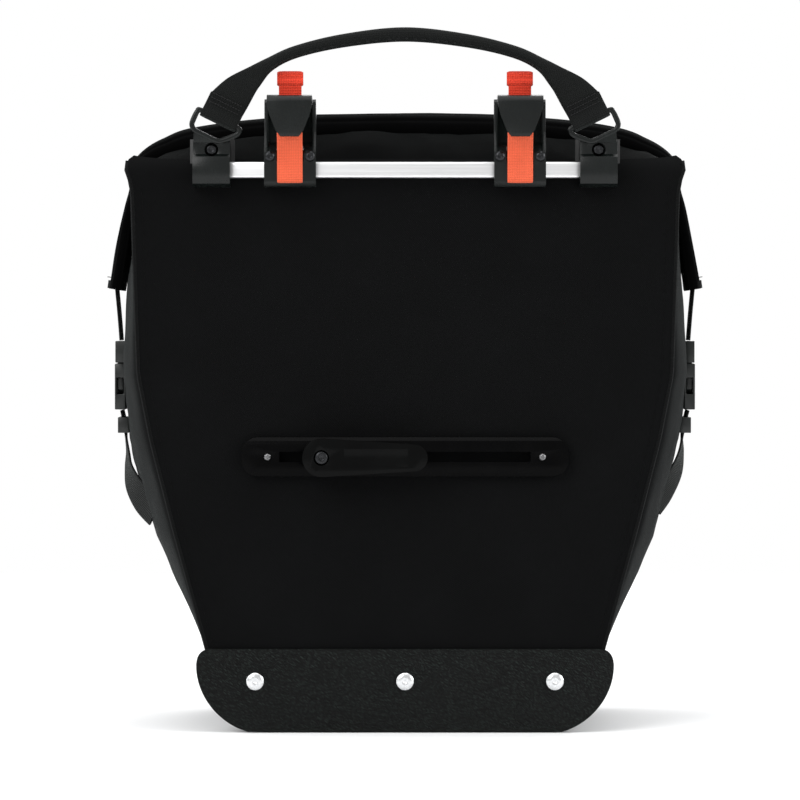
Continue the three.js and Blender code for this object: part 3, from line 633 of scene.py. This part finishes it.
def piping():
    """A covered cord sewn into each of the four upright seams."""
    for name, panel, t in (("back_left", 0, 0.0), ("back_right", 0, 1.0), ("front_right", 2, 0.0),
                           ("front_left", 2, 1.0)):
        line = []
        for k in range(60):
            z = SHELL_LOW + 1 + (359 - SHELL_LOW) * k / 59
            x, y, _ = shell_point(panel, t, z)
            inward = 1.0 if y < 0 else -0.2
            line.append((x, y + inward, z))
        section = flat_oval(12, 1.5, 1.5, 1.0)
        cord = sweep("seam_piping_" + name, line, lambda i: (0, 1, 0), lambda i: section, PIPING)
        attach(facing_out(cord), "root", "fabric")


def seam_stitching():
    """Topstitching beside the seams of the back and front."""
    for name, panel in (("back", 0), ("front", 2)):
        runs = []
        for k in range(34):
            z0, z1 = 56 + 300 * k / 34, 56 + 300 * (k + 0.86) / 34
            for sign in (-1, 1):
                t = 0.5 + sign * 0.482
                a, b = shell_point(panel, t, z0), shell_point(panel, t, z1)
                lift = -0.1 if panel == 0 else 0.15
                runs.append(((a[0], a[1] + lift, a[2]), (b[0], b[1] + lift, b[2])))
        rows = stitches("seam_stitches_" + name, runs, (0, -1 if panel == 0 else 1, 0), BLACK_THREAD)
        attach(rows, "root", "webbing")


# ---- Collar and rolled top ----
def roll_line(steps=10):
    """The roll's middle line from end to end, as (x, height, thickness)."""
    half = curve_through(ROLL_PATH, steps)
    return [(-x, z, t) for x, z, t in reversed(half[1:])] + half


def crest_height(x):
    """The middle of the roll above x."""
    return at([(px, pz) for px, pz, _ in ROLL_PATH[:5]], abs(x))


def collar():
    """The cloth between the panels' tops and the roll."""
    rows = 22

    def point(i, j):
        panel, t = panel_of(j)
        v = i / rows
        low = Vector(shell_point(panel, t, rim_height(panel, t) - 6 + 0.01, 1.6))
        if panel in (0, 2):
            x = (2 * t - 1 if panel == 0 else 1 - 2 * t) * 168
            top = Vector((x, ROLL_Y + (-9 if panel == 0 else 9), crest_height(x) - 2))
        else:
            way = t if panel == 1 else 1 - t
            top = Vector(((1 if panel == 1 else -1) * 168, ROLL_Y - 9 + 18 * way, crest_height(168) - 4))
        out = low.lerp(top, v)
        out.z = low.z + (top.z - low.z) * math.sin(math.pi / 2 * min(v * 1.15, 1)) ** 0.9
        soft = math.sin(math.pi * v)
        out.z += 3.0 * soft * crease(out.x * 1.4, out.y * 0.6, 40, 34)
        out.y += 1.5 * soft * crease(out.x, out.y, 90, 26)
        return out

    cloth = grid("roll_collar", rows, AROUND, point, lambda i, j: (cloth_across(j), 90 * i / rows),
                 SHADED_COLLAR_CLOTH, wrap=True, smooth_angle=60)
    facing_out(cloth)
    thicken(cloth, 0.9, 0.0, 60)
    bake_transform(cloth, "root", "closure", (0, ROLL_Y * MM, 0.357), (0, ROLL_Y * MM, 0.372))
    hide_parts("top_collar")


def roll_top():
    """The rolled opening, its turns showing as grooves, with both ends folded down the sides."""
    line = roll_line()
    count = 64

    def section(i):
        x, z, thick = line[i]
        down = ease((abs(x) - 150) / 22)
        half = 18 + 1.6 * down + 1.2 * noise.noise(Vector((x / 40, z / 60, 3)))
        pinch = math.exp(-((z - 345) / 11) ** 2) * (1 if abs(x) > 160 else 0)
        loop = []
        for k in range(count):
            angle = 2 * math.pi * (k + 0.5) / count
            c, s = math.cos(angle), math.sin(angle)
            square = 0.72 - 0.25 * down
            a = squared(c, square) * half * (1 - 0.16 * pinch)
            b = squared(s, square) * thick / 2
            turns = 0.55 * math.cos(5 * angle + 0.9) ** 8 * (1 - 0.4 * down)
            rumple = 0.9 * noise.noise(Vector((x / 24, z / 24 + a / 15, b / 9)))
            grow = 1 + (rumple * 1.1 - turns * 1.7) / max(half, 1) * 0.9
            loop.append((a * grow, b * (1 + (rumple - turns * 1.8) / max(thick, 6))))
        return loop

    centres = [(x, ROLL_Y, z) for x, z, _ in line]
    roll = facing_out(sweep("roll_top", centres, lambda i: (0, 1, 0), section, SHADED_COLLAR_CLOTH, 60))
    attach(roll, "closure", "fabric", "roll_closure")


def ear_bindings():
    """The tape bound over the cut end of each folded-down roll end, with its stitching."""
    for name, sign in SIDES:
        line = [(sign * 185.2, ROLL_Y, 284.5), (sign * 185.9, ROLL_Y, EAR_FOOT_Z)]
        section = flat_oval(26, 19.0, 5.5, 0.45)
        tape = sweep("ear_binding_" + name, curve_through(line, 4), lambda i: (0, 1, 0),
                     lambda i: section, PIPING)
        attach(facing_out(tape), "closure", "webbing")
        x = sign * 190.6
        rows = stitches("ear_stitches_" + name, [((x, ROLL_Y - 17, 287.2), (x, ROLL_Y + 17, 287.2))],
                        (sign, 0, 0), GREY_THREAD)
        attach(rows, "closure", "webbing")


def reflective_strip():
    """A plain sewn strip across the front."""
    def point(i, j):
        t = 0.5 + (i / 60 - 0.5) * 0.86
        z = 206 + 20 * j / 4
        x, y, _ = shell_point(2, t, z)
        return x, y + 0.7, z

    strip = grid("front_strip", 60, 4, point, lambda i, j: (5 * i, 5 * j), STRIP)
    thicken(strip, 0.9, 0.0)
    attach(strip, "root", "webbing")
    runs = []
    for z in (208, 224):
        for k in range(48):
            t0, t1 = 0.075 + 0.85 * k / 48, 0.075 + 0.85 * (k + 0.7) / 48
            a, b = shell_point(2, t0, z), shell_point(2, t1, z)
            runs.append(((a[0], a[1] + 1.2, z), (b[0], b[1] + 1.2, z)))
    rows = stitches("front_strip_stitches", runs, (0, 1, 0), GREY_THREAD, length=3.2)
    attach(rows, "root", "webbing")


# ---- Webbing: side straps, handle and pull straps ----
def side_straps():
    """The strap above each buckle, and the one from below it to the guard."""
    for name, sign in SIDES:
        upper = curve_through([(sign * BUCKLE_X, ROLL_Y, 246.4), (sign * 184, ROLL_Y, 262),
                               (sign * 185.6, ROLL_Y, EAR_FOOT_Z)], 10)
        strap = webbing("upper_webbing_" + name, upper, (0, 1, 0), 24, 1.7, STRAP)
        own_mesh(strap)
        attach(strap, "closure", "webbing", "upper_strap_" + name)
        route = curve_through(LOWER_STRAP[name], 8)
        centres = [(sign * x, y, z) for x, y, z, _, _, _ in route]
        sides = [(sign * a, b, c) for _, _, _, a, b, c in route]
        section = flat_oval(22, 12, 0.85, 0.34)
        lower = facing_out(sweep("lower_webbing_" + name, centres, lambda i: sides[i], lambda i: section, STRAP))
        attach(lower, "root", "webbing", "lower_strap_" + name)


def handle_section(width, thick, tube):
    """From a flat band to a rolled tube with its sewn lip below."""
    loop = []
    count = 36
    for k in range(count):
        angle = 2 * math.pi * (k + 0.5) / count
        c, s = math.cos(angle), math.sin(angle)
        square = 0.36 + 0.64 * tube
        lip = 1 + 0.13 * tube * math.exp(-((angle - math.pi) / 0.22) ** 2)
        loop.append((squared(c, square) * width / 2 * lip,
                     squared(s, square) * thick / 2))
    return loop


def handle():
    """The carrying handle: a flat band at its ends, rolled and stitched between them."""
    ends = [(sign * x, z, w, t) for sign, table in ((-1, HANDLE_PATH), (1, HANDLE_PATH[-2::-1]))
            for x, z, w, t in table]
    line = curve_through(ends, 14)
    y = HANDLE_Y
    centres = [Vector((x, y, z)) for x, z, _, _ in line]

    def side_of(i):
        ahead = centres[min(i + 1, len(centres) - 1)] - centres[max(i - 1, 0)]
        return Vector((-ahead.z, 0, ahead.x))

    def section(i):
        x, _, width, thick = line[i]
        return handle_section(width, thick, ease((100 - abs(x)) / 18))

    band = facing_out(sweep("handle_band", centres, side_of, section, HANDLE_STRAP, 60))
    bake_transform(band, "root", "handle", (0, y * MM, 0.384), (0, y * MM, 0.4))
    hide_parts("handle_webbing", "handle_core")
    runs = []
    for k in range(46):
        i0 = int(len(line) * (0.2 + 0.6 * k / 46))
        i1 = min(i0 + 2, len(line) - 1)
        ends_at = []
        for i in (i0, i1):
            side = side_of(i).normalized()
            p = centres[i] - side * (line[i][2] / 2 * 0.72)
            ends_at.append((p.x, y - line[i][3] / 2 * 0.72, p.z))
        runs.append(tuple(ends_at))
    rows = stitches("handle_stitches", runs, (0, -0.8, -0.5), GREY_THREAD, length=2.4)
    attach(rows, "handle", "webbing")


def handle_ends():
    """The webbing's folded end round each bracket's bar, with two sewn bars across it."""
    middle_x, middle_z, tilt = BAR
    y = HANDLE_Y
    for name, sign in SIDES:
        across = Vector((math.cos(tilt), 0, sign * math.sin(tilt)))
        up = Vector((-sign * math.sin(tilt), 0, math.cos(tilt)))
        centre = Vector((sign * middle_x, y, middle_z))
        route = [(-1.0, 13.5), (-1.2, 9), (-1.7, 4.5), (-2.7, 1), (-2.5, -1.2), (0, -2.5), (2.5, -1.2),
                 (2.7, 1), (1.7, 4.5), (1.2, 9), (1.0, 13.5)]
        line = [centre + Vector((0, a, 0)) + up * b for a, b in curve_through(route, 6)]
        fold = webbing("handle_fold_" + name, line, across, 24.4, 1.6, HANDLE_STRAP)
        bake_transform(fold, "root", "handle", (0, y * MM, 0.384), (0, y * MM, 0.4))
        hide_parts("handle_end_" + name)
        runs = []
        for height in (7.6, 10.4, 13.2):
            a = centre + Vector((0, -2.35, 0)) + up * height - across * 10.5
            b = centre + Vector((0, -2.35, 0)) + up * height + across * 10.5
            runs.append((a, b))
        rows = stitches("handle_bartack_" + name, runs, (0, -1, 0), GREY_THREAD, length=1.5, gap=0.35, wide=0.8)
        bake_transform(rows, "root", "handle", (0, y * MM, 0.384), (0, y * MM, 0.4))


def bracket_rings():
    """The round-edged wire of each bracket's loop."""
    tilt = BAR[2]
    outline = [(-13, 0.1), (0, 0.1), (12.6, 0.1), (14.5, -1.2), (13.9, -4.3), (7.2, -11.6), (3.2, -13), (-4, -13),
               (-10.6, -12.9), (-14, -10.4), (-14.7, -5.5), (-14.4, -1.4)]
    for name, sign in SIDES:
        ring = []
        for a, b in curve_through(outline + outline[:3], 8)[8:-8]:
            along, up = a * math.cos(tilt) + b * math.sin(tilt), b * math.cos(tilt) - a * math.sin(tilt)
            ring.append((sign * (BAR[0] - along), HANDLE_Y, BAR[1] + up))
        section = flat_oval(16, 1.65, 1.65, 0.8)
        wire = facing_out(sweep("bracket_ring_" + name, ring, lambda i: (0, 1, 0), lambda i: section, NYLON, 60))
        attach(wire, "root", "nylon")


def pull_straps():
    """On each hook, the lower red strap, the upper pull strap and its tab."""
    for name, sign in SIDES:
        x = sign * HOOK_X
        low = [(-5.5, -7.6), (-8.2, -7.4), (-9.6, -6), (-9.9, -3), (-9.9, 2), (-9.9, 12), (-14, 20.2),
               (-14.7, 23)]
        line = curve_through([(x, RAIL_Y + a, RAIL_Z + b) for a, b in low], 8)
        strap = webbing("red_strap_" + name, line, (1, 0, 0), 16, 1.6, ORANGE_STRAP)
        attach(strap, "hook_" + name, "red_webbing", "lower_pull_strap_" + name)
        high = [(0.3, 31), (0.3, 45), (0.3, 53), (-0.4, 55)]  # the last point only steers the curve
        line = curve_through([(x, RAIL_Y + a, RAIL_Z + b) for a, b in high], 8)
        stem = line[:8 * 2 + 1]
        pull = webbing("red_pull_" + name, stem, (1, 0, 0), 14.3, 1.6, RED_STRAP)
        attach(pull, "pull_" + name, "red_webbing", "upper_pull_strap_" + name)
        tab = facing_out(pull_tab("red_tab_" + name, x))
        attach(tab, "pull_" + name, "red_webbing")


def pull_tab(name, x):
    """The strap's end, folded over and sewn into two rolls."""
    rows = 20
    count = 40

    def point(i, j):
        a = -8.2 + 16.4 * i / rows
        soft = 1 - 0.16 * (abs(2 * i / rows - 1)) ** 8
        angle = 2 * math.pi * j / count
        c, s = math.cos(angle), math.sin(angle)
        up = 4.9 * squared(s, 0.55)
        waist = 1 - 0.42 * math.exp(-(up / 0.9) ** 2)
        out = 1.75 * squared(c, 0.8) * waist
        return x + a, RAIL_Y + 0.7 + out * soft, RAIL_Z + 57.2 + up * soft

    return grid(name, rows, count, point, lambda i, j: (16.4 * i / rows, 0.6 * j), RED_STRAP,
                wrap=True, cap=True, smooth_angle=60)


# ---- Guard, rivets and hard parts ----
def guard_outline(count=20):
    """The guard's face, from its foot round one big lower corner to its top."""
    half, foot, corner, height, radius = 131.7, 99.0, 40.0, 52.3, 8.0
    points = [(foot, 0.0)]
    p0, p1, p2, p3 = (foot, 0), (foot + 16, 4), (half - 1, corner - 20), (half, corner)
    for k in range(1, count + 1):
        t = k / count
        points.append(tuple((1 - t) ** 3 * a + 3 * (1 - t) ** 2 * t * b + 3 * (1 - t) * t * t * c + t ** 3 * d
                            for a, b, c, d in zip(p0, p1, p2, p3)))
    for k in range(1, 9):
        t = k / 8
        points.append(((1 - t) ** 2 * half + 2 * (1 - t) * t * (half + 0.5) + t * t * (half - radius),
                       (1 - t) ** 2 * corner + 2 * (1 - t) * t * (height - 1) + t * t * height))
    return points


def guard_piece():
    """The sheet folded under the bag: two flanges with rounded edges, and the flat base between them."""
    half = guard_outline()
    loop = half + [(-x, z) for x, z in reversed(half)]
    points, faces = [], []
    near, far, thick = BACK_Y - 0.3, FRONT_Y + 0.3, 2.5
    for y0, y1 in ((near - thick, near), (far, far + thick)):
        first = len(points)
        points += [(x, y0, z) for x, z in loop] + [(x, y1, z) for x, z in loop]
        n = len(loop)
        faces.append([first + k for k in range(n)])
        faces.append([first + n + k for k in reversed(range(n))])
        faces += [[first + k, first + (k + 1) % n, first + n + (k + 1) % n, first + n + k] for k in range(n)]
    flanges = facing_out(mesh_piece("guard_sheet", points, faces, None, GUARD_SHEET))
    round_edges(flanges, 0.7, 3, 40, 35)
    rows = 24
    count = 48

    def point(i, j):
        y = near - thick + 0.9 + (far - near + 2 * thick - 1.8) * i / rows
        angle = 2 * math.pi * j / count
        c, s = math.cos(angle), math.sin(angle)
        return (squared(c, 0.06) * 99, y, 1.26 + squared(s, 0.5) * 1.24)

    base = grid("guard_base", rows, count, point, lambda i, j: (j, i), GUARD_SHEET, wrap=True, cap=True)
    facing_out(base)
    for piece in (flanges, base):
        attach(piece, "root", "guard_sheet")
    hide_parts("bottom_guard")


def dome(node, face, inward, radius, material):
    """A domed rivet head with its setting mark, standing for the CAD rivet."""
    x, _, z = middle(node)
    shape = [(0.0, -1.35), (0.9, -1.35), (1.2, -1.62), (radius * 0.45, -1.72), (radius * 0.7, -1.45),
             (radius * 0.9, -0.9), (radius, -0.35), (radius, 0.0), (radius * 0.4, 0.05), (radius * 0.4, 4.0),
             (0.0, 4.0)]
    profile = [(max(r, 0.001), face + inward * y) for r, y in shape]
    head = turned(node + "_head", profile, x, z, material)
    attach(head, "root", "steel", node)


def rivets():
    """The guard's six rivets and the track's two."""
    for face_name, face, inward in (("back", BACK_Y - 2.95, 1), ("front", FRONT_Y + 2.95, -1)):
        for place_name in ("left", "middle", "right"):
            dome(f"guard_rivet_{face_name}_{place_name}", face, inward, 5.5, STEEL)
    for name, _ in SIDES:
        dome(f"track_rivet_{name}", BACK_Y - 6.15, 1, 2.4, DULL_STEEL)


def both(*stems):
    """The left and right node of each stem."""
    return [stem + name for stem in stems for name, _ in SIDES]


def hard_parts():
    """The CAD's own hard parts, with rounded edges and their materials."""
    groups = [
        (NYLON, "nylon", 0.55, both("end_bracket_", "hook_body_", "cam_")),
        (TRACK_NYLON, "nylon", 0.5, ["lower_track"]),
        (ARM_NYLON, "nylon", 0.9, ["anchor_arm"]),
        (BUCKLE_NYLON, "nylon", 0.6, both("buckle_plug_", "buckle_socket_")),
        (BUCKLE_NYLON, "nylon", 0.3, both("ladder_lock_")),
        (RAIL_METAL, "aluminium", 0.25, ["rail"]),
        (STEEL, "steel", 0.2, both("cam_pin_", "bracket_nut_") + ["anchor_nut"]),
        (DARK_STEEL, "black_steel", 0.25,
         both("bracket_screw_", "clamp_screw_a_", "clamp_screw_b_") + ["anchor_screw"]),
        (SHEET_PLASTIC, "stiffener", 0.3, ["stiffener_sheet"]),
    ]
    for material, slot_name, bevel, nodes in groups:
        for node in nodes:
            refine(node, material, bevel)
    for name, _ in SIDES:
        spring = frame["nodes"]["cam_spring_" + name]
        for slot in spring.material_slots:
            slot.material = STEEL


# ---- Studio ----
def studio():
    """A white backdrop, a pale floor and soft lights."""
    world = bpy.data.worlds.new("studio")
    bpy.context.scene.world = world
    world.use_nodes = True
    sky = world.node_tree.nodes["Background"]
    sky.inputs["Color"].default_value = (1.0, 1.0, 1.0, 1.0)
    ray = world.node_tree.nodes.new("ShaderNodeLightPath")
    level = world.node_tree.nodes.new("ShaderNodeMapRange")  # a white backdrop, and a softer light from it
    level.inputs["To Min"].default_value = 0.72
    level.inputs["To Max"].default_value = 1.0
    world.node_tree.links.new(ray.outputs["Is Camera Ray"], level.inputs["Value"])
    world.node_tree.links.new(level.outputs["Result"], sky.inputs["Strength"])
    floor_look = Look("studio_floor", 0.9, specular=0.1)
    speck = floor_look.noise(floor_look.place((4.0, 4.0, 4.0)), 1.0, 3.0)
    floor_look.link(floor_look.ramp(speck, [(0.3, (0.9, 0.905, 0.91)), (0.7, (0.93, 0.935, 0.94))]), "Base Color")
    corners = [(-1500, -1500, -0.6), (1500, -1500, -0.6), (1500, 1500, -0.6), (-1500, 1500, -0.6)]
    floor = mesh_piece("studio_floor", corners, [(0, 1, 2, 3)], None, floor_look.material)
    for name, place, target, size, power in (
            ("key", (-1.5, -1.9, 1.7), (0, 0, 0.25), 1.6, 34),
            ("rim_right", (1.9, -0.6, 0.9), (0, 0, 0.25), 1.2, 20),
            ("rim_left", (-1.9, 0.3, 0.8), (0, 0, 0.25), 1.2, 16),
            ("top", (0, -0.2, 2.4), (0, 0, 0.2), 2.0, 26),
            ("back", (0.6, 2.4, 1.3), (0, 0, 0.25), 1.6, 22)):
        light = bpy.data.lights.new(name, "AREA")
        light.size = size
        light.energy = power
        lamp = bpy.data.objects.new(name, light)
        lamp.location = place
        lamp.rotation_euler = (Vector(target) - Vector(place)).to_track_quat("-Z", "Y").to_euler()
        bpy.context.scene.collection.objects.link(lamp)
    bpy.context.scene.view_settings.view_transform = "Standard"


def camera():
    """The camera, level with the bag and square on to its back."""
    lens = bpy.data.cameras.new("camera")
    eye = bpy.data.objects.new("camera", lens)
    bpy.context.scene.collection.objects.link(eye)
    distance = 2.6
    view_width = 0.504  # metres seen across the picture at the bag's back
    lens.sensor_width = 36.0
    lens.lens = lens.sensor_width * distance / view_width
    lens.clip_end = 50.0
    target = Vector((-0.00315, BACK_Y * MM, 0.2092))
    tilt = math.radians(1.2)
    eye.location = target + Vector((0, -math.cos(tilt), math.sin(tilt))) * distance
    eye.rotation_euler = (target - eye.location).to_track_quat("-Z", "Y").to_euler()
    bpy.context.scene.camera = eye


camera()
studio()
bag_shell()
bottom_cloth()
piping()
seam_stitching()
collar()
roll_top()
ear_bindings()
reflective_strip()
side_straps()
handle()
handle_ends()
bracket_rings()
pull_straps()
guard_piece()
rivets()
hard_parts()
